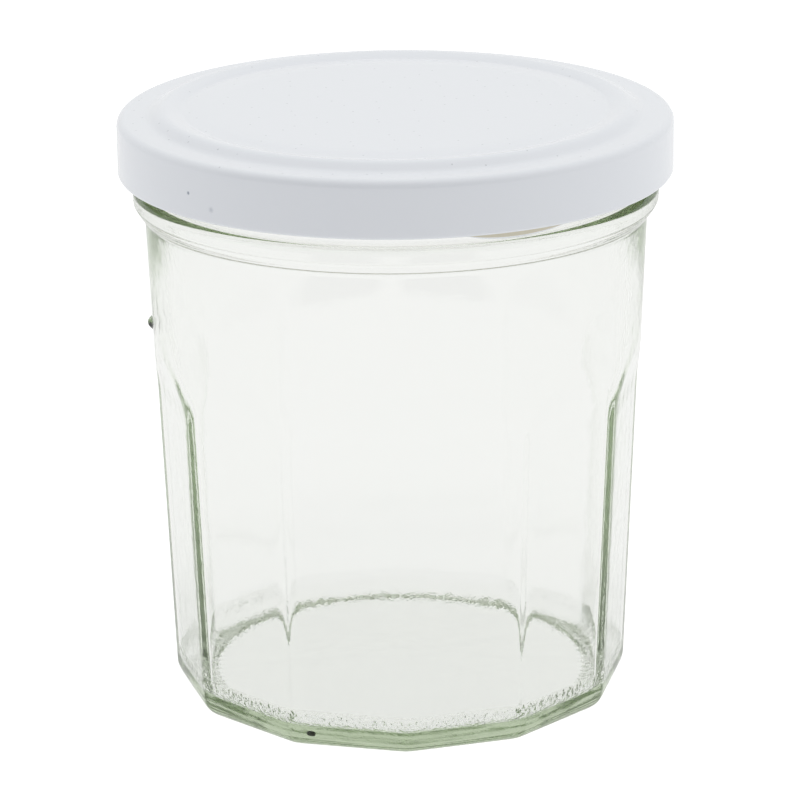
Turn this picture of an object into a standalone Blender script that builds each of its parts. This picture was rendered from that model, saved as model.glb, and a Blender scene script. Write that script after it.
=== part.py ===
# Empty glass jam jar with a twist-off steel lid.
# Two pieces: the pressed glass jar and the lid that sits on its neck.
# Metres, +Z up. The origin is on the jar's axis, at the level it stands on.
# Angles go round the axis from the front, which is -Y, towards +X.

import math

import bmesh
import bpy

# Both pieces are turned shapes, made of this many points a ring
COLUMNS = 72
# Edges between faces that meet at more than this angle, in degrees, are drawn sharp
SHARP_ANGLE = 30
# Gap between the lid and the rim that it seals
SEAL_GAP = 0.0003

# Glass body: a slightly tapered cylinder with flat panels round its lower part
PANELS = 12
BODY_RADIUS_LOW = 0.03561
BODY_RADIUS_HIGH = 0.03864
HEEL_HEIGHT = 0.0034
BODY_HEIGHT = 0.078
PANEL_SHOULDER = 0.0500
PANEL_TOP = 0.0565
WALL_LOW = 0.0024
WALL_HIGH = 0.0022

# Base: the jar stands on a flat ring, and the middle is pushed up
CONTACT_RADIUS = 0.03274
CONTACT_INNER_RADIUS = 0.0272
PUSH_UP = 0.0012
FLOOR_EDGE_HEIGHT = 0.0024
FLOOR_RADIUS = 0.02875
FLOOR_DOME = 0.0012
CORNER_RISE = 0.0028

# Neck: a bead below the lid, then the plain neck with six thread ridges, then the rim
BEAD_RADIUS = 0.04033
BEAD_LOW = 0.0765
BEAD_WIDEST = 0.0793
BEAD_HIGH = 0.0810
BEAD_ROUND = 0.0011
HOLLOW_SHARE = 0.6
NECK_RADIUS = 0.03835
NECK_FILLET = 0.0008
NECK_LOW = BEAD_HIGH + NECK_FILLET
RIM_HEIGHT = 0.09105
RIM_EDGE = 0.0009
NECK_TOP = RIM_HEIGHT - RIM_EDGE
BORE_RADIUS = 0.0364
BORE_LOW = 0.0860
THREADS = 6
THREAD_RELIEF = 0.0013
THREAD_HALF_WIDTH = 0.0011
THREAD_LOW = 0.0852
THREAD_RISE = 0.0020
THREAD_ARC = 46.0
THREAD_ENDS = 6.0

# Small round dot that stands out of the glass at the side
DOT_ANGLE = -87.0
DOT_HEIGHT = 0.0594
DOT_RADIUS = 0.0011
DOT_SUNK = 0.0004

# Lid: skirt, rolled curl, shoulder, raised ring and a sunken middle panel
LID_RADIUS = 0.0425
SHEET = 0.0005
CURL_RADIUS = 0.0005
CURL_HEIGHT = 0.0835
CURL_END = -240
SHOULDER_RADIUS = 0.0013
LAND_HEIGHT = 0.0918
RING_OUTER = 0.0378
RING_CREST = 0.0357
RING_HEIGHT = 0.09305
RING_ROUND = 0.0004
VALLEY_RADIUS = 0.0326
VALLEY_HEIGHT = 0.09242
PANEL_RADIUS = 0.0280
PANEL_HEIGHT = 0.09265
LINER_INNER = 0.0337
LINER_STEP = 0.0008
LUGS = 6
LUG_ANGLE = 24.6
LUG_HALF_ARC = 10.0
LUG_REACH = 0.0014

# Rings along each stretch of the profiles
DOME_ROWS = 3
HEEL_ROWS = 4
WALL_ROWS = 3
LEAN_ROWS = 5
BEAD_ROWS = 4
NECK_ROWS = 10
BORE_ROWS = 4
CORNER_ROWS = 5
RISE_ROWS = 3
FALL_ROWS = 4


def arc(centre_r, centre_z, radius, start, end, steps):
    """Points (r, z) on a circle in the profile plane; 0 degrees points outwards and 90 up."""
    turns = [math.radians(start + (end - start) * i / steps) for i in range(steps + 1)]
    return [(centre_r + radius * math.cos(t), centre_z + radius * math.sin(t)) for t in turns]


def between(low, high, steps):
    """Evenly spaced values after low, up to and with high."""
    return [low + (high - low) * i / steps for i in range(1, steps + 1)]


def smooth_step(value):
    """0 below 0, 1 above 1, and an S curve between."""
    value = min(max(value, 0.0), 1.0)
    return value * value * (3.0 - 2.0 * value)


def soft_minimum(a, b, softness):
    """The smaller of a and b, with the corner between them rounded over a difference of softness."""
    near = max(softness - abs(a - b), 0.0) / softness
    return min(a, b) - near * near * softness / 4.0


def nearest_offset(angle, count, first=0.0):
    """Angle in degrees from the nearest of so many evenly spaced directions."""
    pitch = 360.0 / count
    return (angle - first + pitch / 2) % pitch - pitch / 2


def turned_object(name, profile, radius_at, material):
    """Closed solid from a profile (r, z) whose first and last rings are closed by flat discs.

    radius_at(r, z, angle) gives the real radius of a profile point in a direction."""
    bm = bmesh.new()
    rings = []
    for r, z in profile:
        ring = []
        for column in range(COLUMNS):
            angle = 360.0 * column / COLUMNS
            radius = radius_at(r, z, angle)
            turn = math.radians(angle)
            ring.append(bm.verts.new((radius * math.sin(turn), -radius * math.cos(turn), z)))
        rings.append(ring)
    for lower, upper in zip(rings, rings[1:]):
        for column in range(COLUMNS):
            following = (column + 1) % COLUMNS
            bm.faces.new((lower[column], lower[following], upper[following], upper[column]))
    bm.faces.new(rings[0])
    bm.faces.new(rings[-1])
    bmesh.ops.recalc_face_normals(bm, faces=bm.faces)
    mesh = bpy.data.meshes.new(name)
    bm.to_mesh(mesh)
    bm.free()
    mesh.shade_smooth()
    mesh.set_sharp_from_angle(angle=math.radians(SHARP_ANGLE))
    mesh.materials.append(material)
    made = bpy.data.objects.new(name, mesh)
    bpy.context.scene.collection.objects.link(made)
    return made


def principled(name, colour, roughness, metallic=0.0, transmission=0.0, ior=1.5):
    """Material with one Principled BSDF."""
    material = bpy.data.materials.new(name)
    material.use_nodes = True
    shader = material.node_tree.nodes["Principled BSDF"]
    shader.inputs["Base Color"].default_value = (*colour, 1.0)
    shader.inputs["Roughness"].default_value = roughness
    shader.inputs["Metallic"].default_value = metallic
    shader.inputs["Transmission Weight"].default_value = transmission
    shader.inputs["IOR"].default_value = ior
    return material


def body_radius(z):
    """Round outer radius of the tapered body at a height, measured at a corner between two panels."""
    taper = (BODY_RADIUS_HIGH - BODY_RADIUS_LOW) / (BODY_HEIGHT - HEEL_HEIGHT)
    return BODY_RADIUS_LOW + taper * (z - HEEL_HEIGHT)


def bead_swell(z):
    """Outer radius up to the bead's widest ring: the body's line, and above it a quarter sine."""
    part = min(max((z - BEAD_LOW) / (BEAD_WIDEST - BEAD_LOW), 0.0), 1.0)
    return body_radius(z) + (BEAD_RADIUS - body_radius(z)) * math.sin(part * math.pi / 2)


def inner_radius(z):
    """Inner radius: an even wall, a shallow hollow behind the bead, and the bore above it."""
    wall = WALL_LOW + (WALL_HIGH - WALL_LOW) * z / BODY_HEIGHT
    hollow = body_radius(z) - wall + HOLLOW_SHARE * (bead_swell(z) - body_radius(z))
    narrow = smooth_step((z - BEAD_WIDEST) / (BORE_LOW - BEAD_WIDEST))
    return hollow * (1.0 - narrow) + BORE_RADIUS * narrow


def panel_distance(r, z):
    """Distance of a flat panel from the axis: it leans outwards above its shoulder, up to the round wall."""
    flat = math.cos(math.pi / PANELS)
    lean = (z - PANEL_SHOULDER) / (PANEL_TOP - PANEL_SHOULDER)
    return r * (flat + (1.0 - flat) * min(max(lean, 0.0), 1.0))


def thread_relief(z, angle):
    """How far a thread ridge stands out of the neck. Each of the six climbs a little along its arc."""
    along = nearest_offset(angle, THREADS) / THREAD_ARC + 0.5
    across = (z - THREAD_LOW - THREAD_RISE * along) / THREAD_HALF_WIDTH
    ends = smooth_step(along * THREAD_ENDS) * smooth_step((1.0 - along) * THREAD_ENDS)
    return THREAD_RELIEF * ends * max(1.0 - across * across, 0.0)


def glass_radius(r, z, angle):
    """Ring of the glass: cut by the flat panels on the lower body, inside and out, and raised by the threads."""
    if r > CONTACT_INNER_RADIUS and z < PANEL_TOP:
        from_middle = nearest_offset(angle, PANELS, 180.0 / PANELS)
        return min(r, panel_distance(r, z) / math.cos(math.radians(from_middle)))
    if r >= NECK_RADIUS and NECK_LOW < z < NECK_TOP:
        return r + thread_relief(z, angle)
    return r


def jar_profile():
    """Profile of the glass from the middle of its underside, up outside, over the rim and down to the floor."""
    quarter = math.pi / 2
    parts = between(0.0, 1.0, DOME_ROWS)
    profile = [(CONTACT_INNER_RADIUS * part, PUSH_UP * math.cos(part * quarter) ** 2) for part in parts]
    profile.append((CONTACT_RADIUS, 0.0))
    for turn in between(0.0, quarter, HEEL_ROWS)[:-1]:
        across = (BODY_RADIUS_LOW - CONTACT_RADIUS) * math.sin(turn)
        profile.append((CONTACT_RADIUS + across, HEEL_HEIGHT * (1.0 - math.cos(turn))))
    lean = between(PANEL_SHOULDER, PANEL_TOP, LEAN_ROWS)
    outside = [HEEL_HEIGHT] + between(HEEL_HEIGHT, PANEL_SHOULDER, WALL_ROWS) + lean
    outside += between(PANEL_TOP, BEAD_LOW, 2) + between(BEAD_LOW, BEAD_WIDEST, BEAD_ROWS)
    profile += [(bead_swell(z), z) for z in outside]
    profile += arc(BEAD_RADIUS - BEAD_ROUND, BEAD_HIGH - BEAD_ROUND, BEAD_ROUND, 0, 90, 3)
    profile += arc(NECK_RADIUS + NECK_FILLET, NECK_LOW, NECK_FILLET, 270, 180, 2)
    profile += [(NECK_RADIUS, z) for z in between(NECK_LOW, NECK_TOP, NECK_ROWS)[:-1]]
    profile += arc(NECK_RADIUS - RIM_EDGE, NECK_TOP, RIM_EDGE, 0, 90, 3)
    profile += arc(BORE_RADIUS + RIM_EDGE / 2, RIM_HEIGHT - RIM_EDGE / 2, RIM_EDGE / 2, 90, 180, 2)
    corner_top = FLOOR_EDGE_HEIGHT + CORNER_RISE
    inside = [BORE_LOW] + between(BORE_LOW, BEAD_LOW, BORE_ROWS) + [PANEL_TOP]
    inside += between(PANEL_TOP, PANEL_SHOULDER, LEAN_ROWS) + between(PANEL_SHOULDER, corner_top, 2)
    profile += [(inner_radius(z), z) for z in inside]
    corner_width = inner_radius(corner_top) - FLOOR_RADIUS
    for turn in between(0.0, quarter, CORNER_ROWS):
        profile.append((FLOOR_RADIUS + corner_width * math.cos(turn), corner_top - CORNER_RISE * math.sin(turn)))
    for part in reversed(parts[:-1]):
        profile.append((FLOOR_RADIUS * part, FLOOR_EDGE_HEIGHT + FLOOR_DOME * math.cos(part * quarter) ** 2))
    return profile


def make_jar():
    """Glass jar, with the side dot joined on."""
    glass = principled("glass", (0.93, 0.98, 0.94), 0.0, transmission=1.0, ior=1.52)
    jar = turned_object("glass_jar", jar_profile(), glass_radius, glass)
    turn = math.radians(DOT_ANGLE)
    reach = body_radius(DOT_HEIGHT) - DOT_SUNK
    bpy.ops.mesh.primitive_ico_sphere_add(subdivisions=2, radius=DOT_RADIUS)
    dot = bpy.context.object
    dot.name = "side_dot_guide"
    dot.location = (reach * math.sin(turn), -reach * math.cos(turn), DOT_HEIGHT)
    dot.hide_render = True
    dot.display_type = "WIRE"
    joining = jar.modifiers.new("join the dot", "BOOLEAN")
    joining.operation = "UNION"
    joining.solver = "EXACT"
    joining.object = dot


def ring_height(r):
    """Raised ring of the lid: a quarter sine up from the valley, then a straight fall to the land, both eased."""
    rise = min((r - VALLEY_RADIUS) / (RING_CREST - VALLEY_RADIUS), 1.0) * math.pi / 2
    up = VALLEY_HEIGHT + (RING_HEIGHT - VALLEY_HEIGHT) * math.sin(rise)
    down = LAND_HEIGHT + (RING_HEIGHT - LAND_HEIGHT) * (RING_OUTER - r) / (RING_OUTER - RING_CREST)
    down = -soft_minimum(-down, -LAND_HEIGHT, RING_ROUND)
    return soft_minimum(up, down, RING_ROUND)


def lid_profile():
    """Three lists: the top from its middle outwards with the skirt, the curl, and the underside back inwards."""
    middle = ((PANEL_RADIUS + VALLEY_RADIUS) / 2, (PANEL_HEIGHT + VALLEY_HEIGHT) / 2)
    top = [(PANEL_RADIUS, PANEL_HEIGHT), middle, (VALLEY_RADIUS, VALLEY_HEIGHT)]
    ring = between(VALLEY_RADIUS, RING_CREST, RISE_ROWS) + between(RING_CREST, RING_OUTER, FALL_ROWS)
    top += [(r, ring_height(r)) for r in ring]
    shoulder_r = LID_RADIUS - SHOULDER_RADIUS
    shoulder_z = LAND_HEIGHT - SHOULDER_RADIUS
    skirt = arc(shoulder_r, shoulder_z, SHOULDER_RADIUS, 90, 0, 4)
    curl = arc(LID_RADIUS - CURL_RADIUS, CURL_HEIGHT, CURL_RADIUS, 0, CURL_END, 8)
    under = [(LID_RADIUS - SHEET, CURL_HEIGHT + 2 * CURL_RADIUS)]
    under += arc(shoulder_r, shoulder_z, SHOULDER_RADIUS - SHEET, 0, 90, 2)
    liner = RIM_HEIGHT + SEAL_GAP
    under += [(shoulder_r - SHEET, liner), (LINER_INNER, liner)]
    under += [(LINER_INNER - LINER_STEP, VALLEY_HEIGHT - SHEET), (PANEL_RADIUS, PANEL_HEIGHT - SHEET)]
    return top + skirt, curl, under


def make_lid():
    """Steel lid. Its curl is pressed inwards at six lugs, which catch under the glass threads."""
    paint = principled("white_paint", (0.80, 0.82, 0.86), 0.25)
    outside, curl, inside = lid_profile()
    pressed = {point for point in curl if point[0] < LID_RADIUS - CURL_RADIUS}

    def radius_at(r, z, angle):
        if (r, z) not in pressed:
            return r
        offset = abs(nearest_offset(angle, LUGS, LUG_ANGLE))
        depth = (LID_RADIUS - CURL_RADIUS - r) / CURL_RADIUS
        return r - LUG_REACH * depth * smooth_step((LUG_HALF_ARC - offset) / (LUG_HALF_ARC / 2))

    turned_object("lid", outside + curl + inside, radius_at, paint)


for leftover in list(bpy.data.objects):
    bpy.data.objects.remove(leftover, do_unlink=True)
make_jar()
make_lid()
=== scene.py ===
"""Empty clear glass jam jar under its white twist-off lid, dressed round the fixed model.

Metres, +Z up, the jar standing on z = 0. Angles go round the axis from the front, -Y, towards +X."""
import math

import bpy
import numpy as np
from mathutils import Matrix, Vector


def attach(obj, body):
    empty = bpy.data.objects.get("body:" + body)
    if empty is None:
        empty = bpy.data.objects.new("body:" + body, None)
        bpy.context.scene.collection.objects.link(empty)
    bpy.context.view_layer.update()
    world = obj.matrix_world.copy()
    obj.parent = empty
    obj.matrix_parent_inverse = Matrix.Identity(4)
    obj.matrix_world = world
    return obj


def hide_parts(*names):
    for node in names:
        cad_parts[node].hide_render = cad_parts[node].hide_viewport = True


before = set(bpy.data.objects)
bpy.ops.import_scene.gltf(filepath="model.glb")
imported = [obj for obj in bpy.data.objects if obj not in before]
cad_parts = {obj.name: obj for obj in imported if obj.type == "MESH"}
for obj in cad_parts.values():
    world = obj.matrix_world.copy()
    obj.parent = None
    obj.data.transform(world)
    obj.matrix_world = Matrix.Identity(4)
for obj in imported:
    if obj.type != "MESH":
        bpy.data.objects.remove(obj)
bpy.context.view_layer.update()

# The camera: a long lens a little above the lid, looking down past a corner of the jar.
# It was found from the outlines of the lid, the bead and the base.
CAMERA_DISTANCE = 0.61796
CAMERA_HEIGHT = 0.24258
CAMERA_AZIMUTH = math.radians(-1.387)
CAMERA_YAW = math.radians(-0.028)
CAMERA_PITCH = math.radians(17.693)
CAMERA_ROLL = math.radians(-0.578)
LENS = 187.19
SENSOR = 36.0

lens_data = bpy.data.cameras.new("camera")
lens_data.lens = LENS
lens_data.sensor_width = SENSOR
lens_data.clip_start = 0.01
lens_data.clip_end = 20.0
camera = bpy.data.objects.new("camera", lens_data)
bpy.context.scene.collection.objects.link(camera)
stand_point = Vector((CAMERA_DISTANCE * math.sin(CAMERA_AZIMUTH),
                      -CAMERA_DISTANCE * math.cos(CAMERA_AZIMUTH), CAMERA_HEIGHT))
camera.matrix_world = (Matrix.Translation(stand_point)
                       @ Matrix.Rotation(CAMERA_AZIMUTH + CAMERA_YAW, 4, "Z")
                       @ Matrix.Rotation(math.pi / 2 - CAMERA_PITCH, 4, "X")
                       @ Matrix.Rotation(CAMERA_ROLL, 4, "Z"))
bpy.context.scene.camera = camera

# The jar: pressed soda-lime glass with twelve flat panels, and a wall of even thickness behind them.
# It is clear, with a green cast that shows where the light runs a long way through the glass.
PANELS = 12
BODY_RADIUS_LOW = 0.03561
BODY_RADIUS_HIGH = 0.03864
HEEL_HEIGHT = 0.0034
BODY_HEIGHT = 0.078
PANEL_SHOULDER = 0.0500
PANEL_TOP = 0.0565
PANEL_EASE = 0.0018
EDGE_CUT = 0.00012
CREASE_SOFTNESS = 0.0004
INNER_EASE = 0.0032
INNER_EDGE_CUT = 0.00005
INNER_CREASE_SOFTNESS = 0.0004
CREASE_BAND = 0.0006
WALL_LOW = 0.0024
WALL_HIGH = 0.0022
CONTACT_RADIUS = 0.03274
CONTACT_INNER_RADIUS = 0.0272
PUSH_UP = 0.0012
FLOOR_EDGE_HEIGHT = 0.0024
FLOOR_DOME = 0.0012
FLOOR_RADIUS = 0.02875
CORNER_RISE = 0.0028
KNURLS = 96
KNURL_DEPTH = 0.00006
KNURL_INNER = 0.0275
KNURL_OUTER = 0.0318
KNURL_FADE_IN = 0.0006
KNURL_FADE_OUT = 0.0009
BEAD_RADIUS = 0.04033
BEAD_LOW = 0.0765
BEAD_WIDEST = 0.0793
BEAD_HIGH = 0.0810
BEAD_ROUND = 0.0011
BEAD_FILLET = 0.0004
HAIRLINES = (0.0772, 0.07872)
HAIRLINE_RELIEF = 0.00004
HAIRLINE_HALF_WIDTH = 0.00006
HOLLOW_SHARE = 0.6
HOLLOW_EASE = 0.0010
BORE_LOW = 0.0860
NECK_RADIUS = 0.03835
NECK_FILLET = 0.0008
RIM_HEIGHT = 0.09105
RIM_EDGE = 0.0009
BORE_RADIUS = 0.0364
THREADS = 6
THREAD_RELIEF = 0.0013
THREAD_HALF_WIDTH = 0.0011
THREAD_LOW = 0.0852
THREAD_RISE = 0.0020
THREAD_ARC = math.radians(46.0)
DOT_ANGLE = math.radians(-87.0)
DOT_HEIGHT = 0.0594
DOT_RADIUS = 0.0011
DOT_SUNK = 0.0004
# Slow waves of the inner wall: size, turns round the jar, turns up it in radians per metre, start
WAVES = ((1.0, 3.0, 60.0, 0.0), (0.7, 5.0, -95.0, 1.3), (0.5, 8.0, 140.0, 0.4))
WAVE_DEPTH = 0.00003
WAVE_FADE = 0.008
JAR_COLUMNS = 528
RING_GUARD = 0.0002
COLUMNS_GATHER = 0.35
GLASS_IOR = 1.52
GLASS_CAST = (0.454, 0.600, 0.300)
GLASS_DENSITY = 16.5
LAMP_TINT = (0.93, 0.96, 0.93)
RIPPLE_SCALE = 380.0
RIPPLE_STRENGTH = 0.25
RIPPLE_RELIEF = 0.00006
FROST_SCALE = 3200.0
FROST_RELIEF = 0.000004
STREAK_SCALE = (60.0, 60.0, 900.0)
STREAK_RELIEF = 0.00005
PIT_SCALE = (1300.0, 1300.0, 1300.0)
PIT_RELIEF = 0.0006
RELIEF_FADE = 0.0007


def smooth_step(value):
    """0 below 0, 1 above 1, and 3 v^2 - 2 v^3 between."""
    value = np.clip(value, 0.0, 1.0)
    return value * value * (3.0 - 2.0 * value)


def soft_minimum(a, b, softness):
    """The smaller of a and b, with the corner between them rounded over a difference of softness."""
    near = np.maximum(softness - np.abs(a - b), 0.0) / softness
    return np.minimum(a, b) - near * near * softness / 4.0


def soft_ramp(value, softness):
    """0 below 0 and value above, eased by a parabola that is softness wide to each side."""
    eased = (value + softness) ** 2 / (4.0 * softness)
    return np.where(value > softness, value, np.where(value < -softness, 0.0, eased))


def arc(centre_r, centre_z, radius, start, end, count):
    """Column arrays r, z on a circle in the profile plane; 0 degrees is outwards and 90 up."""
    turn = np.radians(np.linspace(start, end, count))[:, None]
    return centre_r + radius * np.cos(turn), centre_z + radius * np.sin(turn)


def nearest_offset(angle, count, first=0.0):
    """Angle from the nearest of so many evenly spaced directions."""
    pitch = 2.0 * math.pi / count
    return (angle - first + pitch / 2.0) % pitch - pitch / 2.0


def body_radius(z):
    """Radius of the tapered round body at a height: a straight line from heel to shoulder."""
    taper = (BODY_RADIUS_HIGH - BODY_RADIUS_LOW) / (BODY_HEIGHT - HEEL_HEIGHT)
    return BODY_RADIUS_LOW + taper * (z - HEEL_HEIGHT)


def panel_cut(r, z, angle, cut=EDGE_CUT, crease=CREASE_SOFTNESS, ease=PANEL_EASE):
    """Round radius r cut by flat panels, r cos 15 / cos(offset), which lean out to the round at their tops.

    Neighbouring panels a and b meet in a hyperbola, (a + b)/2 - sqrt((a - b)^2/4 + cut^2)."""
    flat = math.cos(math.pi / PANELS)
    span = PANEL_TOP - PANEL_SHOULDER
    lean = soft_ramp(z - PANEL_SHOULDER, ease) / span
    distance = r * (flat + (1.0 - flat) * lean)
    offset = np.abs(nearest_offset(angle, PANELS, math.pi / PANELS))
    here = distance / np.cos(offset)
    beside = distance / np.cos(2.0 * math.pi / PANELS - offset)
    faceted = (here + beside) / 2.0 - np.sqrt((here - beside) ** 2 / 4.0 + cut ** 2)
    return soft_minimum(faceted, r + 0.0 * angle, crease)


def crease_height(angle):
    """Height where a leaning panel meets the round body.

    It is shoulder + span (cos(offset) - cos 15)/(1 - cos 15)."""
    flat = math.cos(math.pi / PANELS)
    offset = nearest_offset(angle, PANELS, math.pi / PANELS)
    return PANEL_SHOULDER + (PANEL_TOP - PANEL_SHOULDER) * (np.cos(offset) - flat) / (1.0 - flat)


def rows_between(low, high, count):
    """Rows of heights spread evenly from one line round the jar, left out, to another, kept."""
    share = np.linspace(0.0, 1.0, count + 1)[1:, None]
    return low + (high - low) * share


def underside(angle):
    """Push-up z = top cos^2 (90 r/R) in the middle, and the standing ring with its radial ridges."""
    share = np.linspace(0.08, 1.0, 8)[:, None]
    dome_z = PUSH_UP * np.cos(share * math.pi / 2) ** 2
    out = np.linspace(0.0, 1.0, 13)[1:, None]
    ring_r = CONTACT_INNER_RADIUS + (CONTACT_RADIUS - CONTACT_INNER_RADIUS) * out
    polygon = panel_cut(ring_r, np.zeros_like(ring_r), angle)
    ring = ring_r + (polygon - ring_r) * out
    window = smooth_step((ring - KNURL_INNER) / KNURL_FADE_IN)
    window = window * smooth_step((KNURL_OUTER - ring) / KNURL_FADE_OUT)
    ring_z = KNURL_DEPTH * window * np.sin(KNURLS * angle / 2.0) ** 2
    return (np.vstack([CONTACT_INNER_RADIUS * share + 0.0 * angle, ring]),
            np.vstack([dome_z + 0.0 * angle, ring_z]))


def heel(angle):
    """Quarter ellipse from the standing ring up to the wall, on the panels' twelve-sided plan."""
    turn = np.linspace(0.0, math.pi / 2, 11)[1:-1, None]
    r = CONTACT_RADIUS + (BODY_RADIUS_LOW - CONTACT_RADIUS) * np.sin(turn)
    z = HEEL_HEIGHT * (1.0 - np.cos(turn))
    return panel_cut(r, z, angle), z + 0.0 * angle


def side_dot(r, z, angle):
    """Cap of a ball that stands out of the wall: sqrt(R^2 - d^2) less the depth that it is sunk."""
    along = nearest_offset(angle, 1, DOT_ANGLE) * r
    distance = np.hypot(along, z - DOT_HEIGHT)
    cap = np.sqrt(np.maximum(DOT_RADIUS ** 2 - distance ** 2, 0.0)) - DOT_SUNK
    return np.maximum(cap, 0.0)


def wall(angle):
    """Tapered body with its panels and the small dot at the side, in rows that follow the panels' arches."""
    heel_row = HEEL_HEIGHT + 0.0 * angle
    bend = PANEL_SHOULDER - PANEL_EASE
    crease = crease_height(angle)
    dot_low = DOT_HEIGHT - DOT_RADIUS
    dot_high = DOT_HEIGHT + DOT_RADIUS
    z = np.vstack([heel_row, heel_row + RING_GUARD, rows_between(heel_row + RING_GUARD, bend, 3),
                   rows_between(bend, crease - CREASE_BAND, 7),
                   rows_between(crease - CREASE_BAND, crease + CREASE_BAND, 6),
                   rows_between(crease + CREASE_BAND, dot_low, 3),
                   rows_between(dot_low + 0.0 * angle, dot_high, 8),
                   rows_between(dot_high + 0.0 * angle, BEAD_LOW - BEAD_FILLET - RING_GUARD, 3)])
    r = panel_cut(body_radius(z), z, angle)
    return r + side_dot(r, z, angle), z


def bead_swell(z, fillet):
    """Radius up to the bead's widest ring: body line plus a quarter sine, the corner between them eased."""
    rise = np.clip((z - BEAD_LOW) / (BEAD_WIDEST - BEAD_LOW), -1.0, 1.0) * math.pi / 2
    line = body_radius(z)
    return -soft_minimum(-line - (BEAD_RADIUS - line) * np.sin(rise), -line, fillet)


def bead(angle):
    """Bead below the lid: its swelling lower side, a rounded edge, a flat ledge and a fillet to the neck.

    Two hairlines from the mould run round it, as narrow bell-shaped ridges."""
    low_z = np.concatenate([np.linspace(BEAD_LOW - BEAD_FILLET, BEAD_WIDEST, 12)]
                           + [line + HAIRLINE_HALF_WIDTH * np.linspace(-2.0, 2.0, 5) for line in HAIRLINES])
    low_z = np.sort(low_z)[:, None]
    low_r = bead_swell(low_z, BEAD_FILLET)
    for line in HAIRLINES:
        low_r = low_r + HAIRLINE_RELIEF * np.exp(-((low_z - line) / HAIRLINE_HALF_WIDTH) ** 2)
    edge_r, edge_z = arc(BEAD_RADIUS - BEAD_ROUND, BEAD_HIGH - BEAD_ROUND, BEAD_ROUND, 0, 90, 7)
    fillet_r, fillet_z = arc(NECK_RADIUS + NECK_FILLET, BEAD_HIGH + NECK_FILLET, NECK_FILLET, 270, 180, 13)
    r = np.vstack([low_r, edge_r, fillet_r])
    z = np.vstack([low_z, edge_z, fillet_z])
    return r + 0.0 * angle, z + 0.0 * angle


def neck(angle):
    """Neck with six thread ridges that climb along their arcs, parabolic in section, and the rounded rim."""
    z = np.linspace(BEAD_HIGH + NECK_FILLET, RIM_HEIGHT - RIM_EDGE, 11)[1:, None]
    along = nearest_offset(angle, THREADS) / THREAD_ARC + 0.5
    across = (z - THREAD_LOW - THREAD_RISE * along) / THREAD_HALF_WIDTH
    ends = smooth_step(along * 6.0) * smooth_step((1.0 - along) * 6.0)
    r = NECK_RADIUS + THREAD_RELIEF * ends * np.maximum(1.0 - across * across, 0.0)
    outer_r, outer_z = arc(NECK_RADIUS - RIM_EDGE, RIM_HEIGHT - RIM_EDGE, RIM_EDGE, 0, 90, 7)
    inner_r, inner_z = arc(BORE_RADIUS + RIM_EDGE / 2, RIM_HEIGHT - RIM_EDGE / 2, RIM_EDGE / 2, 90, 180, 5)
    rim_r = np.vstack([outer_r[1:], inner_r]) + 0.0 * angle
    rim_z = np.vstack([outer_z[1:], inner_z])
    return np.vstack([r, rim_r]), np.vstack([z, rim_z]) + 0.0 * angle


def inside(angle):
    """Bore, shallow hollow behind the bead, wall behind the panels, quarter-ellipse corner and domed floor.

    The wall wanders a little, as a sum of slow waves round and up."""
    corner_top = FLOOR_EDGE_HEIGHT + CORNER_RISE
    crease = crease_height(angle)
    bore_row = RIM_HEIGHT - RIM_EDGE / 2 + 0.0 * angle
    bend = PANEL_SHOULDER - INNER_EASE
    hollow_low = BEAD_LOW - HOLLOW_EASE
    z = np.vstack([rows_between(bore_row, BORE_LOW, 2), rows_between(BORE_LOW + 0.0 * angle, hollow_low, 14),
                   rows_between(hollow_low, crease + 3.0 * CREASE_BAND, 2),
                   rows_between(crease + 3.0 * CREASE_BAND, crease - 2.0 * CREASE_BAND, 8),
                   rows_between(crease - 2.0 * CREASE_BAND, bend, 6),
                   rows_between(bend + 0.0 * angle, corner_top + RING_GUARD, 3), corner_top + 0.0 * angle])
    wall = WALL_LOW + (WALL_HIGH - WALL_LOW) * z / BODY_HEIGHT
    hollow = body_radius(z) - wall + HOLLOW_SHARE * (bead_swell(z, HOLLOW_EASE) - body_radius(z))
    narrow = smooth_step((z - BEAD_WIDEST) / (BORE_LOW - BEAD_WIDEST))
    straight = hollow * (1.0 - narrow) + BORE_RADIUS * narrow
    turn = np.linspace(0.0, math.pi / 2, 17)[1:, None]
    lowest = body_radius(corner_top) - WALL_LOW
    corner_r = lowest - (lowest - FLOOR_RADIUS) * (1.0 - np.cos(turn)) + 0.0 * angle
    corner_z = corner_top - CORNER_RISE * np.sin(turn) + 0.0 * angle
    share = np.linspace(1.0, 0.08, 9)[1:, None]
    floor_r = FLOOR_RADIUS * share
    floor_z = FLOOR_EDGE_HEIGHT + FLOOR_DOME * np.cos(share * math.pi / 2) ** 2
    r = np.vstack([straight, corner_r])
    z = np.vstack([z, corner_z])
    inner = (INNER_EDGE_CUT, INNER_CREASE_SOFTNESS, INNER_EASE)
    r = panel_cut(r, z, angle, *inner)
    round_part = smooth_step(1.0 - share) + 0.0 * angle
    floor_r = floor_r * round_part + panel_cut(floor_r, floor_z, angle, *inner) * (1.0 - round_part)
    wave = sum(size * np.sin(turns * angle + rise * z + start) for size, turns, rise, start in WAVES)
    depth = WAVE_DEPTH * smooth_step((BEAD_LOW - z) / WAVE_FADE)
    depth = depth * smooth_step((z - FLOOR_EDGE_HEIGHT) / CORNER_RISE)
    return np.vstack([r + depth * wave, floor_r]), np.vstack([z, floor_z + 0.0 * angle])


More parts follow.
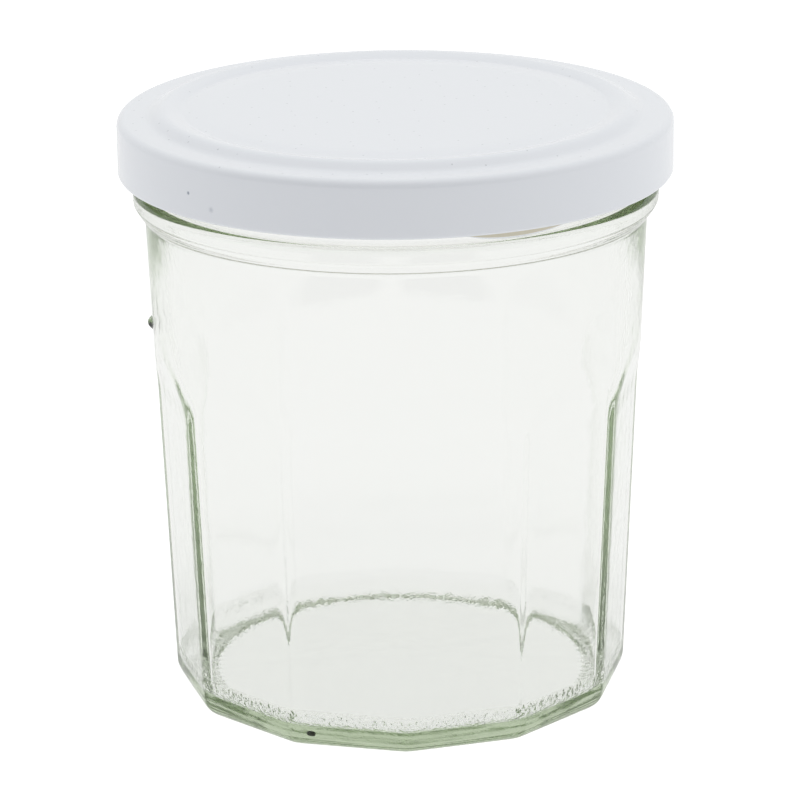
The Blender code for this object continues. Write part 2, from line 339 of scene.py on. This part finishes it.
def turned_mesh(name, radius, height, angle):
    """Closed mesh from a grid of rings: point (i, j) stands at radius[i, j], height[i, j], angle[j].

    Neighbouring rings join by quads, and the first and last ring each close to one point on the axis."""
    rings, columns = radius.shape
    points = np.stack([radius * np.sin(angle), -radius * np.cos(angle), height], axis=-1).reshape(-1, 3)
    poles = np.array([[0.0, 0.0, height[0].mean()], [0.0, 0.0, height[-1].mean()]])
    here = np.arange(columns)
    following = (here + 1) % columns
    start = (np.arange(rings - 1) * columns)[:, None]
    quads = np.stack([start + here, start + following, start + following + columns,
                      start + here + columns], axis=-1)
    last = (rings - 1) * columns
    first_fan = np.stack([np.full(columns, rings * columns), following, here], axis=-1)
    last_fan = np.stack([np.full(columns, rings * columns + 1), last + here, last + following], axis=-1)
    faces = quads.reshape(-1, 4).tolist() + first_fan.tolist() + last_fan.tolist()
    mesh = bpy.data.meshes.new(name)
    mesh.from_pydata(np.vstack([points, poles]).tolist(), [], faces)
    mesh.update()
    mesh.shade_smooth()
    made = bpy.data.objects.new(name, mesh)
    bpy.context.scene.collection.objects.link(made)
    return made


even = np.linspace(0.0, 2.0 * math.pi, JAR_COLUMNS, endpoint=False)
jar_angle = (even - COLUMNS_GATHER * np.sin(PANELS * even) / PANELS)[None, :]
zones = [zone(jar_angle) for zone in (underside, heel, wall, bead, neck, inside)]
jar = turned_mesh("jar_glass", np.vstack([r for r, z in zones]), np.vstack([z for r, z in zones]), jar_angle)

glass = bpy.data.materials.new("clear_pressed_glass")
glass.use_nodes = True
nodes = glass.node_tree.nodes
links = glass.node_tree.links
shader = nodes["Principled BSDF"]
output = nodes["Material Output"]
shader.inputs["Base Color"].default_value = (1.0, 1.0, 1.0, 1.0)
shader.inputs["Roughness"].default_value = 0.0
shader.inputs["Metallic"].default_value = 0.0
shader.inputs["Transmission Weight"].default_value = 1.0
shader.inputs["IOR"].default_value = GLASS_IOR
coordinates = nodes.new("ShaderNodeTexCoord")
ripple = nodes.new("ShaderNodeTexNoise")
ripple.inputs["Scale"].default_value = RIPPLE_SCALE
ripple.inputs["Detail"].default_value = 2.0
skin = nodes.new("ShaderNodeBump")
skin.inputs["Strength"].default_value = RIPPLE_STRENGTH
skin.inputs["Distance"].default_value = RIPPLE_RELIEF
frost = nodes.new("ShaderNodeTexNoise")
frost.inputs["Scale"].default_value = FROST_SCALE
frost.inputs["Detail"].default_value = 1.0
grain = nodes.new("ShaderNodeBump")
grain.inputs["Strength"].default_value = 1.0
grain.inputs["Distance"].default_value = FROST_RELIEF
links.new(coordinates.outputs["Object"], ripple.inputs["Vector"])
links.new(coordinates.outputs["Object"], frost.inputs["Vector"])
links.new(ripple.outputs["Fac"], skin.inputs["Height"])
links.new(frost.outputs["Fac"], grain.inputs["Height"])
links.new(skin.outputs["Normal"], grain.inputs["Normal"])

heights = nodes.new("ShaderNodeSeparateXYZ")
levelled = nodes.new("ShaderNodeVectorMath")
levelled.operation = "MULTIPLY"
levelled.inputs[1].default_value = (1.0, 1.0, 0.0)
from_axis = nodes.new("ShaderNodeVectorMath")
from_axis.operation = "LENGTH"
links.new(coordinates.outputs["Object"], heights.inputs["Vector"])
links.new(coordinates.outputs["Object"], levelled.inputs[0])
links.new(levelled.outputs["Vector"], from_axis.inputs[0])


def product(first, second):
    """Output of a node that multiplies two values."""
    made = nodes.new("ShaderNodeMath")
    made.operation = "MULTIPLY"
    links.new(first, made.inputs[0])
    links.new(second, made.inputs[1])
    return made.outputs["Value"]


def band(value, low, high):
    """1 from low to high, with a straight slope down to 0 over the relief's fade on each side."""
    edges = []
    for start, end in ((low - RELIEF_FADE, low), (high + RELIEF_FADE, high)):
        edge = nodes.new("ShaderNodeMapRange")
        edge.inputs["From Min"].default_value = start
        edge.inputs["From Max"].default_value = end
        links.new(value, edge.inputs["Value"])
        edges.append(edge.outputs["Result"])
    return product(*edges)


def local_relief(pattern_scale, detail, lowest, highest, inner, outer, relief, under):
    """Noise bump kept to a range of heights and of distances from the axis, laid over another normal."""
    pattern = nodes.new("ShaderNodeMapping")
    pattern.inputs["Scale"].default_value = pattern_scale
    noise = nodes.new("ShaderNodeTexNoise")
    noise.inputs["Scale"].default_value = 1.0
    noise.inputs["Detail"].default_value = detail
    bump = nodes.new("ShaderNodeBump")
    bump.inputs["Strength"].default_value = 1.0
    bump.inputs["Distance"].default_value = relief
    links.new(coordinates.outputs["Object"], pattern.inputs["Vector"])
    links.new(pattern.outputs["Vector"], noise.inputs["Vector"])
    place = product(band(heights.outputs["Z"], lowest, highest),
                    band(from_axis.outputs["Value"], inner, outer))
    links.new(product(noise.outputs["Fac"], place), bump.inputs["Height"])
    links.new(under, bump.inputs["Normal"])
    return bump.outputs["Normal"]


# Cooled streaks run round the heel's outer face, and the inside corner above it is finely pitted
streaked = local_relief(STREAK_SCALE, 1.0, 0.0, HEEL_HEIGHT, CONTACT_RADIUS, BEAD_RADIUS, STREAK_RELIEF,
                        grain.outputs["Normal"])
pitted = local_relief(PIT_SCALE, 2.0, FLOOR_EDGE_HEIGHT, FLOOR_EDGE_HEIGHT + CORNER_RISE, FLOOR_RADIUS,
                      BODY_RADIUS_LOW - WALL_LOW, PIT_RELIEF, streaked)
links.new(pitted, shader.inputs["Normal"])
lamp_pass = nodes.new("ShaderNodeBsdfTransparent")
lamp_pass.inputs["Color"].default_value = (*LAMP_TINT, 1.0)
light_path = nodes.new("ShaderNodeLightPath")
either = nodes.new("ShaderNodeMixShader")
links.new(light_path.outputs["Is Shadow Ray"], either.inputs["Fac"])
links.new(shader.outputs["BSDF"], either.inputs[1])
links.new(lamp_pass.outputs["BSDF"], either.inputs[2])
links.new(either.outputs["Shader"], output.inputs["Surface"])
absorption = nodes.new("ShaderNodeVolumeAbsorption")
absorption.inputs["Color"].default_value = (*GLASS_CAST, 1.0)
absorption.inputs["Density"].default_value = GLASS_DENSITY
links.new(absorption.outputs["Volume"], output.inputs["Volume"])
jar.data.materials.append(glass)
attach(jar, "root")
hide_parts("glass_jar")

# A black grain caught in the heel while the glass was soft: an uneven pebble, one and a half
# millimetres long. It sits in the heel's outer face, with about a third of it standing out.
GRAIN_ANGLE = math.radians(-24.5)
GRAIN_PLACE = (0.0347, 0.00265)
GRAIN_HALF_SIZE = (0.00074, 0.00034, 0.00042)
GRAIN_BLACK = (0.007, 0.010, 0.004)
GRAIN_OLIVE = (0.030, 0.040, 0.018)
GRAIN_ROUGHNESS = 0.55
GRAIN_MOTTLE = 4000.0


def pebble(name, rings, columns, half_size, place, turned):
    """Closed ball of radius 1 + 0.14 sin 3p sin t + 0.08 cos(2p + 4t), stretched and put in its place."""
    tilt = np.linspace(0.0, math.pi, rings + 2)[1:-1, None]
    round_it = np.linspace(0.0, 2.0 * math.pi, columns, endpoint=False)[None, :]
    swell = 1.0 + 0.14 * np.sin(3.0 * round_it) * np.sin(tilt) + 0.08 * np.cos(2.0 * round_it + 4.0 * tilt)
    made = turned_mesh(name, swell * np.sin(tilt), -swell * np.cos(tilt), round_it)
    stretch = Matrix.Diagonal((*half_size, 1.0))
    seat = Matrix.Rotation(turned, 4, "Z") @ Matrix.Translation((0.0, -place[0], place[1]))
    made.data.transform(seat @ stretch)
    return made


heel_grain = pebble("heel_grain", 10, 20, GRAIN_HALF_SIZE, GRAIN_PLACE, GRAIN_ANGLE)
soot = bpy.data.materials.new("black_grain")
soot.use_nodes = True
nodes = soot.node_tree.nodes
links = soot.node_tree.links
shader = nodes["Principled BSDF"]
shader.inputs["Roughness"].default_value = GRAIN_ROUGHNESS
coordinates = nodes.new("ShaderNodeTexCoord")
mottle = nodes.new("ShaderNodeTexNoise")
mottle.inputs["Scale"].default_value = GRAIN_MOTTLE
char = nodes.new("ShaderNodeMix")
char.data_type = "RGBA"
char.inputs["A"].default_value = (*GRAIN_BLACK, 1.0)
char.inputs["B"].default_value = (*GRAIN_OLIVE, 1.0)
links.new(coordinates.outputs["Object"], mottle.inputs["Vector"])
links.new(mottle.outputs["Fac"], char.inputs["Factor"])
links.new(char.outputs["Result"], shader.inputs["Base Color"])
heel_grain.data.materials.append(soot)
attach(heel_grain, "root")

# The lid: thin steel, pressed and rolled, with glossy white enamel outside and a beige lacquer inside.
# Its edge is a rolled curl, pressed in at six lugs that catch under the glass threads.
LID_RADIUS = 0.0425
SHEET = 0.0005
CURL_RADIUS = 0.0005
CURL_HEIGHT = 0.0835
SHOULDER_RADIUS = 0.0013
LAND_HEIGHT = 0.0918
RING_OUTER = 0.0378
RING_CREST = 0.0357
RING_HEIGHT = 0.09305
RING_ROUND = 0.0004
VALLEY_RADIUS = 0.0326
VALLEY_HEIGHT = 0.09242
PANEL_RADIUS = 0.0280
PANEL_HEIGHT = 0.09265
LINER_INNER = 0.0337
LINER_STEP = 0.0008
SEAL_GAP = 0.0003
LUGS = 6
LUG_ANGLE = math.radians(24.6)
LUG_HALF_ARC = math.radians(10.0)
LUG_REACH = 0.0014
LID_COLUMNS = 480
ENAMEL = (0.855, 0.882, 0.927)
LACQUER = (0.62, 0.58, 0.46)
ENAMEL_ROUGHNESS = 0.16
LACQUER_ROUGHNESS = 0.3
ENAMEL_PEEL = 0.000003
LACQUER_PEEL = 0.000004
PEEL_SCALE = 900.0
DUST_GREY = (0.42, 0.44, 0.47)
DUST_CELLS = 210.0
DUST_SIZE = 0.03
DUST_SPARED = 0.35
DUST_STRENGTH = 0.45
MARK_BLUE = (0.10, 0.14, 0.22)
# Marks on the enamel: degrees from the front, height, distance from the axis, size, strength
MARKS = ((-46.95, 0.0870, 0.0425, 0.00040, 0.85), (-40.4, 0.0923, 0.0366, 0.00030, 0.50),
         (-40.7, 0.08525, 0.0425, 0.00065, 0.28))


def ring_height(r):
    """Raised ring: a quarter sine up from the valley, a straight fall to the land, both corners eased."""
    rise = np.clip((r - VALLEY_RADIUS) / (RING_CREST - VALLEY_RADIUS), 0.0, 1.0) * math.pi / 2
    up = VALLEY_HEIGHT + (RING_HEIGHT - VALLEY_HEIGHT) * np.sin(rise)
    down = LAND_HEIGHT + (RING_HEIGHT - LAND_HEIGHT) * (RING_OUTER - r) / (RING_OUTER - RING_CREST)
    down = -soft_minimum(-down, -LAND_HEIGHT, RING_ROUND)
    return soft_minimum(up, down, RING_ROUND)


def lid_top():
    """Middle panel, the soft slope to its valley, the raised ring and the land, as column arrays r, z."""
    panel_r = np.linspace(0.08, 1.0, 8)[:, None] * PANEL_RADIUS
    slope = np.linspace(0.0, 1.0, 10)[1:, None]
    slope_r = PANEL_RADIUS + (VALLEY_RADIUS - PANEL_RADIUS) * slope
    slope_z = PANEL_HEIGHT + (VALLEY_HEIGHT - PANEL_HEIGHT) * smooth_step(slope)
    ring_r = np.concatenate([np.linspace(VALLEY_RADIUS, RING_CREST, 14)[1:],
                             np.linspace(RING_CREST, RING_OUTER + RING_ROUND, 26)[1:]])[:, None]
    land_r = np.linspace(RING_OUTER + RING_ROUND, LID_RADIUS - SHOULDER_RADIUS, 5)[1:-1, None]
    r = np.vstack([panel_r, slope_r, ring_r, land_r])
    z = np.vstack([PANEL_HEIGHT + 0.0 * panel_r, slope_z, ring_height(ring_r), LAND_HEIGHT + 0.0 * land_r])
    return r, z


def lid_skirt():
    """Rounded shoulder, straight skirt and the rolled curl, which ends inside the skirt."""
    shoulder_r, shoulder_z = arc(LID_RADIUS - SHOULDER_RADIUS, LAND_HEIGHT - SHOULDER_RADIUS,
                                 SHOULDER_RADIUS, 90, 0, 13)
    skirt_z = np.linspace(LAND_HEIGHT - SHOULDER_RADIUS, CURL_HEIGHT, 10)[1:-1, None]
    curl_r, curl_z = arc(LID_RADIUS - CURL_RADIUS, CURL_HEIGHT, CURL_RADIUS, 0, -240, 25)
    return (np.vstack([shoulder_r, LID_RADIUS + 0.0 * skirt_z, curl_r]),
            np.vstack([shoulder_z, skirt_z, curl_z]))


def lid_inside():
    """Back of the skirt, the sealing channel and the back of the panel."""
    inner_r = LID_RADIUS - SHEET
    back_z = np.linspace(CURL_HEIGHT + 2 * CURL_RADIUS, LAND_HEIGHT - SHOULDER_RADIUS, 6)[:-1, None]
    bend_r, bend_z = arc(LID_RADIUS - SHOULDER_RADIUS, LAND_HEIGHT - SHOULDER_RADIUS,
                         SHOULDER_RADIUS - SHEET, 0, 90, 5)
    liner_z = RIM_HEIGHT + SEAL_GAP
    liner_r = np.linspace(LID_RADIUS - SHOULDER_RADIUS - SHEET, LINER_INNER, 6)[:, None]
    panel_r = np.linspace(1.0, 0.1, 5)[:, None] * PANEL_RADIUS
    r = np.vstack([inner_r + 0.0 * back_z, bend_r, liner_r, [[LINER_INNER - LINER_STEP]], panel_r])
    z = np.vstack([back_z, bend_z, liner_z + 0.0 * liner_r, [[VALLEY_HEIGHT - SHEET]],
                   PANEL_HEIGHT - SHEET + 0.0 * panel_r])
    return r, z


def pressed_lugs(r, z, angle):
    """Curl points inside the curl's middle move in by the lug's reach, faded round the arc of each lug."""
    offset = np.abs(nearest_offset(angle, LUGS, LUG_ANGLE))
    depth = np.clip((LID_RADIUS - CURL_RADIUS - r) / CURL_RADIUS, 0.0, 1.0)
    on_curl = (z < CURL_HEIGHT + CURL_RADIUS) & (r > LID_RADIUS - 2.5 * CURL_RADIUS)
    return r - LUG_REACH * depth * on_curl * smooth_step((LUG_HALF_ARC - offset) / (LUG_HALF_ARC / 2))


lid_angle = np.linspace(0.0, 2.0 * math.pi, LID_COLUMNS, endpoint=False)[None, :]
lid_zones = [lid_top(), lid_skirt(), lid_inside()]
lid_r = np.vstack([r for r, z in lid_zones])
lid_z = np.vstack([z for r, z in lid_zones]) + 0.0 * lid_angle
lid_radius = pressed_lugs(lid_r, lid_z, lid_angle)
# Rings of the lid run from the middle of the top outwards, so they are turned over for outward faces
lid = turned_mesh("lid_shell", lid_radius[::-1], lid_z[::-1], lid_angle)


def effect_group(name, inputs, output):
    """Empty shader group with inputs (name, socket kind, value) and one output; gives tree and both ends."""
    tree = bpy.data.node_groups.new(name, "ShaderNodeTree")
    for label, kind, value in inputs:
        socket = tree.interface.new_socket(label, in_out="INPUT", socket_type=kind)
        socket.default_value = value
    tree.interface.new_socket(output, in_out="OUTPUT", socket_type="NodeSocketFloat")
    return tree, tree.nodes.new("NodeGroupInput"), tree.nodes.new("NodeGroupOutput")


# Orange peel: the faint uneven surface that a coat of paint or lacquer dries to
peel_tree, given, taken = effect_group("orange_peel", [("Scale", "NodeSocketFloat", PEEL_SCALE)], "Height")
where = peel_tree.nodes.new("ShaderNodeTexCoord")
dimples = peel_tree.nodes.new("ShaderNodeTexNoise")
dimples.inputs["Detail"].default_value = 1.5
peel_tree.links.new(where.outputs["Object"], dimples.inputs["Vector"])
peel_tree.links.new(given.outputs["Scale"], dimples.inputs["Scale"])
peel_tree.links.new(dimples.outputs["Fac"], taken.inputs["Height"])

# Dust: one speck in most cells of a level pattern, each a small disc
dust_tree, given, taken = effect_group(
    "dust", [("Cells", "NodeSocketFloat", DUST_CELLS), ("Size", "NodeSocketFloat", DUST_SIZE),
             ("Lowest", "NodeSocketFloat", LAND_HEIGHT - SHEET)], "Mask")
where = dust_tree.nodes.new("ShaderNodeTexCoord")
level = dust_tree.nodes.new("ShaderNodeSeparateXYZ")
settled = dust_tree.nodes.new("ShaderNodeMath")
settled.operation = "GREATER_THAN"
lying = dust_tree.nodes.new("ShaderNodeMath")
lying.operation = "MULTIPLY"
cells = dust_tree.nodes.new("ShaderNodeTexVoronoi")
cells.voronoi_dimensions = "2D"
near = dust_tree.nodes.new("ShaderNodeMath")
near.operation = "LESS_THAN"
apart = dust_tree.nodes.new("ShaderNodeSeparateColor")
kept = dust_tree.nodes.new("ShaderNodeMath")
kept.operation = "GREATER_THAN"
kept.inputs[1].default_value = DUST_SPARED
both = dust_tree.nodes.new("ShaderNodeMath")
both.operation = "MULTIPLY"
dust_tree.links.new(where.outputs["Object"], cells.inputs["Vector"])
dust_tree.links.new(given.outputs["Cells"], cells.inputs["Scale"])
dust_tree.links.new(cells.outputs["Distance"], near.inputs[0])
dust_tree.links.new(given.outputs["Size"], near.inputs[1])
dust_tree.links.new(cells.outputs["Color"], apart.inputs["Color"])
dust_tree.links.new(apart.outputs["Red"], kept.inputs[0])
dust_tree.links.new(near.outputs["Value"], both.inputs[0])
dust_tree.links.new(kept.outputs["Value"], both.inputs[1])
dust_tree.links.new(where.outputs["Object"], level.inputs["Vector"])
dust_tree.links.new(level.outputs["Z"], settled.inputs[0])
dust_tree.links.new(given.outputs["Lowest"], settled.inputs[1])
dust_tree.links.new(both.outputs["Value"], lying.inputs[0])
dust_tree.links.new(settled.outputs["Value"], lying.inputs[1])
dust_tree.links.new(lying.outputs["Value"], taken.inputs["Mask"])

# A mark: a soft round spot about one place
mark_tree, given, taken = effect_group(
    "mark", [("Place", "NodeSocketVector", (0.0, 0.0, 0.0)), ("Radius", "NodeSocketFloat", 0.0003)], "Mask")
where = mark_tree.nodes.new("ShaderNodeTexCoord")
gap = mark_tree.nodes.new("ShaderNodeVectorMath")
gap.operation = "DISTANCE"
fading = mark_tree.nodes.new("ShaderNodeMapRange")
fading.interpolation_type = "SMOOTHSTEP"
fading.inputs["To Min"].default_value = 1.0
fading.inputs["To Max"].default_value = 0.0
mark_tree.links.new(where.outputs["Object"], gap.inputs[0])
mark_tree.links.new(given.outputs["Place"], gap.inputs[1])
mark_tree.links.new(gap.outputs["Value"], fading.inputs["Value"])
mark_tree.links.new(given.outputs["Radius"], fading.inputs["From Max"])
mark_tree.links.new(fading.outputs["Result"], taken.inputs["Mask"])


def coated(name, colour, roughness, relief):
    """Painted sheet: a Principled BSDF bumped by the orange peel. Gives the material and its shader."""
    made = bpy.data.materials.new(name)
    made.use_nodes = True
    tree = made.node_tree
    paint = tree.nodes["Principled BSDF"]
    paint.inputs["Base Color"].default_value = (*colour, 1.0)
    paint.inputs["Roughness"].default_value = roughness
    peel = tree.nodes.new("ShaderNodeGroup")
    peel.node_tree = peel_tree
    uneven = tree.nodes.new("ShaderNodeBump")
    uneven.inputs["Strength"].default_value = 1.0
    uneven.inputs["Distance"].default_value = relief
    tree.links.new(peel.outputs["Height"], uneven.inputs["Height"])
    tree.links.new(uneven.outputs["Normal"], paint.inputs["Normal"])
    return made, paint


def on_lid(degrees, height, radius):
    """Point on the lid at an angle from the front."""
    turn = math.radians(degrees)
    return (radius * math.sin(turn), -radius * math.cos(turn), height)


enamel, shader = coated("white_enamel", ENAMEL, ENAMEL_ROUGHNESS, ENAMEL_PEEL)
nodes = enamel.node_tree.nodes
links = enamel.node_tree.links
specks = nodes.new("ShaderNodeGroup")
specks.node_tree = dust_tree
faint = nodes.new("ShaderNodeMath")
faint.operation = "MULTIPLY"
faint.inputs[1].default_value = DUST_STRENGTH
links.new(specks.outputs["Mask"], faint.inputs[0])
tint = nodes.new("ShaderNodeMix")
tint.data_type = "RGBA"
tint.inputs["A"].default_value = (*ENAMEL, 1.0)
tint.inputs["B"].default_value = (*DUST_GREY, 1.0)
links.new(faint.outputs["Value"], tint.inputs["Factor"])
for degrees, height, radius, size, strength in MARKS:
    spot = nodes.new("ShaderNodeGroup")
    spot.node_tree = mark_tree
    spot.inputs["Place"].default_value = on_lid(degrees, height, radius)
    spot.inputs["Radius"].default_value = size
    weight = nodes.new("ShaderNodeMath")
    weight.operation = "MULTIPLY"
    weight.inputs[1].default_value = strength
    spotted = nodes.new("ShaderNodeMix")
    spotted.data_type = "RGBA"
    spotted.inputs["B"].default_value = (*MARK_BLUE, 1.0)
    links.new(spot.outputs["Mask"], weight.inputs[0])
    links.new(weight.outputs["Value"], spotted.inputs["Factor"])
    links.new(tint.outputs["Result"], spotted.inputs["A"])
    tint = spotted
links.new(tint.outputs["Result"], shader.inputs["Base Color"])
lid.data.materials.append(enamel)
lacquer, shader = coated("beige_lacquer", LACQUER, LACQUER_ROUGHNESS, LACQUER_PEEL)
lid.data.materials.append(lacquer)
# Everything inside the curl is lacquered: the first rows of faces, and the fan that closes the panel's back
outer_rings = lid_zones[0][0].shape[0] + lid_zones[1][0].shape[0]
finish = np.zeros(len(lid.data.polygons), dtype=np.int32)
finish[:(lid_r.shape[0] - outer_rings) * LID_COLUMNS] = 1
finish[-2 * LID_COLUMNS:-LID_COLUMNS] = 1
lid.data.polygons.foreach_set("material_index", finish)
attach(lid, "root")
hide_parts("lid")

# One lug shows below the skirt: the curl is flattened there and bent in towards the neck.
# Its face is worn to the beige lacquer, and its lower edge is still white.
LUG_SHOWN = (math.radians(12.0), math.radians(34.5))
LUG_TOP = (0.04238, 0.08345)
LUG_DROP = 0.00150
LUG_LEAN = 0.0011
LUG_SHEET = 0.00025
LUG_LIP = 0.85


def lug_sheet(inset):
    """Points of a lens hung from the skirt's edge, with reach = v sin(pi u)^0.7 and u kept off its ends.

    z falls by the drop times reach, and r by the inset and by the lean times reach^1.5."""
    across = np.linspace(0.0, 1.0, 61)[None, :]
    down = np.linspace(0.0, 1.0, 15)[:, None]
    bulge = np.sin(math.pi * (0.02 + 0.96 * across)) ** 0.7
    reach = down * bulge
    r = LUG_TOP[0] - inset - LUG_LEAN * reach ** 1.5
    z = LUG_TOP[1] - LUG_DROP * reach
    angle = LUG_SHOWN[0] + (LUG_SHOWN[1] - LUG_SHOWN[0]) * across + 0.0 * down
    return np.stack([r * np.sin(angle), -r * np.cos(angle), z], axis=-1)


face = lug_sheet(0.0)
back = lug_sheet(LUG_SHEET)
rows, columns = face.shape[:2]
index = np.arange(rows * columns).reshape(rows, columns)
front_quads = np.stack([index[:-1, :-1], index[1:, :-1], index[1:, 1:], index[:-1, 1:]], axis=-1)
front_quads = front_quads.reshape(-1, 4)
back_quads = front_quads[:, ::-1] + rows * columns
edge = np.concatenate([index[0, ::-1], index[1:, 0], index[-1, 1:], index[-2:0:-1, -1]])
after = np.roll(edge, -1)
edge_quads = np.stack([edge, edge + rows * columns, after + rows * columns, after], axis=-1)
lug_mesh = bpy.data.meshes.new("pressed_lug")
lug_mesh.from_pydata(np.concatenate([face.reshape(-1, 3), back.reshape(-1, 3)]).tolist(), [],
                     np.concatenate([front_quads, back_quads, edge_quads]).tolist())
lug_mesh.update()
lug_mesh.shade_smooth()
pressed_lug = bpy.data.objects.new("pressed_lug", lug_mesh)
bpy.context.scene.collection.objects.link(pressed_lug)
lug_mesh.materials.append(lacquer)
lug_mesh.materials.append(enamel)
lip_rows = int(LUG_LIP * (rows - 1))
finish = np.zeros(len(lug_mesh.polygons), dtype=np.int32)
finish[lip_rows * (columns - 1):(rows - 1) * (columns - 1)] = 1
lug_mesh.polygons.foreach_set("material_index", finish)
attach(pressed_lug, "root")

# The studio: a plain white floor and an even white surround, darker on the camera's side.
# Both are a little overexposed where the camera sees them directly, as a plain white backdrop is.
FLOOR_SIZE = 6.0
FLOOR_DROP = 0.00005
FLOOR_WHITE = 0.25
FLOOR_ROUGHNESS = 0.9
FLOOR_GLOW = 0.68
BACKDROP_GLOW = 0.95
BACKDROP_WHITE = (1.05, 1.05, 1.05)
SURROUND = (0.86, 0.86, 0.85)
OVERHEAD = 0.60
OVERHEAD_FROM = 0.45
DARK_SIDE = (0.30, 0.30, 0.31)
DARK_DIRECTION = (-0.20, -0.96, 0.18)
DARK_FROM = 0.1
DARK_FULL = 0.9

floor_mesh = bpy.data.meshes.new("studio_floor")
half = FLOOR_SIZE / 2
floor_mesh.from_pydata([(-half, -half, 0.0), (half, -half, 0.0), (half, half, 0.0), (-half, half, 0.0)], [],
                       [(0, 1, 2, 3)])
floor = bpy.data.objects.new("studio_floor", floor_mesh)
floor.location.z = -FLOOR_DROP
bpy.context.scene.collection.objects.link(floor)
paper = bpy.data.materials.new("white_paper")
paper.use_nodes = True
shader = paper.node_tree.nodes["Principled BSDF"]
shader.inputs["Base Color"].default_value = (FLOOR_WHITE, FLOOR_WHITE, FLOOR_WHITE, 1.0)
shader.inputs["Roughness"].default_value = FLOOR_ROUGHNESS
shader.inputs["Emission Color"].default_value = (1.0, 1.0, 1.0, 1.0)
nodes = paper.node_tree.nodes
links = paper.node_tree.links
paper_path = nodes.new("ShaderNodeLightPath")
glow = nodes.new("ShaderNodeMix")
glow.inputs["A"].default_value = FLOOR_GLOW
glow.inputs["B"].default_value = BACKDROP_GLOW
links.new(paper_path.outputs["Is Camera Ray"], glow.inputs["Factor"])
links.new(glow.outputs["Result"], shader.inputs["Emission Strength"])
floor_mesh.materials.append(paper)

world = bpy.data.worlds.new("studio")
world.use_nodes = True
nodes = world.node_tree.nodes
links = world.node_tree.links
background = nodes["Background"]
direction = nodes.new("ShaderNodeTexCoord")
towards = nodes.new("ShaderNodeVectorMath")
towards.operation = "DOT_PRODUCT"
towards.inputs[1].default_value = Vector(DARK_DIRECTION).normalized()
fade = nodes.new("ShaderNodeMapRange")
fade.interpolation_type = "SMOOTHSTEP"
fade.inputs["From Min"].default_value = DARK_FROM
fade.inputs["From Max"].default_value = DARK_FULL
tone = nodes.new("ShaderNodeMix")
tone.data_type = "RGBA"
tone.inputs["A"].default_value = (*SURROUND, 1.0)
tone.inputs["B"].default_value = (*DARK_SIDE, 1.0)
upwards = nodes.new("ShaderNodeSeparateXYZ")
overhead = nodes.new("ShaderNodeMapRange")
overhead.interpolation_type = "SMOOTHSTEP"
overhead.inputs["From Min"].default_value = OVERHEAD_FROM
overhead.inputs["To Min"].default_value = 1.0
overhead.inputs["To Max"].default_value = 1.0 + OVERHEAD
lit = nodes.new("ShaderNodeVectorMath")
lit.operation = "SCALE"
seen = nodes.new("ShaderNodeMix")
seen.data_type = "RGBA"
seen.inputs["B"].default_value = (*BACKDROP_WHITE, 1.0)
world_path = nodes.new("ShaderNodeLightPath")
links.new(direction.outputs["Generated"], towards.inputs[0])
links.new(direction.outputs["Generated"], upwards.inputs["Vector"])
links.new(towards.outputs["Value"], fade.inputs["Value"])
links.new(fade.outputs["Result"], tone.inputs["Factor"])
links.new(upwards.outputs["Z"], overhead.inputs["Value"])
links.new(tone.outputs["Result"], lit.inputs["Vector"])
links.new(overhead.outputs["Result"], lit.inputs["Scale"])
links.new(lit.outputs["Vector"], seen.inputs["A"])
links.new(world_path.outputs["Is Camera Ray"], seen.inputs["Factor"])
links.new(seen.outputs["Result"], background.inputs["Color"])
bpy.context.scene.world = world

# Plain colours, and enough bounces for light that runs far inside the glass
scene = bpy.context.scene
scene.view_settings.view_transform = "Standard"
scene.view_settings.look = "None"
scene.cycles.max_bounces = 64
scene.cycles.transmission_bounces = 32
scene.cycles.glossy_bounces = 48
scene.cycles.transparent_max_bounces = 16
